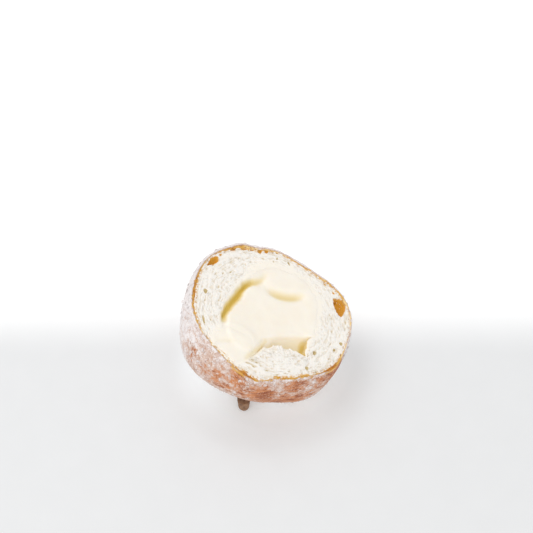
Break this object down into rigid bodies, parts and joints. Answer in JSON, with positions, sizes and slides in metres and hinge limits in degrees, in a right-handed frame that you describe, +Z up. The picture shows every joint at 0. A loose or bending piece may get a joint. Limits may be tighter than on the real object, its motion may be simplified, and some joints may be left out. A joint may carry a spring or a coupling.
{
  "type": "filled doughnut ball",
  "caption": "Half of a round sugar-glazed doughnut, cut face up, with white crumb, a hollow full of pale cream and a browned crust.",
  "frame": {"origin": "middle of the underside of the whole half, on the surface it rests on", "axes": "+Z up; +X to the right and the longest extent; -Y to the front. The cut face looks up, leaning 24 degrees, mostly to the right and a little to the front"},
  "size_m": [0.0746, 0.068, 0.0507],
  "materials": {
    "dough": "white open crumb, matte and dry",
    "crust": "fried crust, golden brown at the cut edge and red-brown outside, lightly wrinkled",
    "sugar_glaze": "thin dried sugar glaze, crackled and whitish, satin",
    "cream": "smooth thick pale cream, soft satin sheen",
    "stub": "rough browned dough, dull"
  },
  "bodies": {
    "root": {"dough": "dough", "cream": "cream", "stub": "stub"}
  },
  "joints": []
}
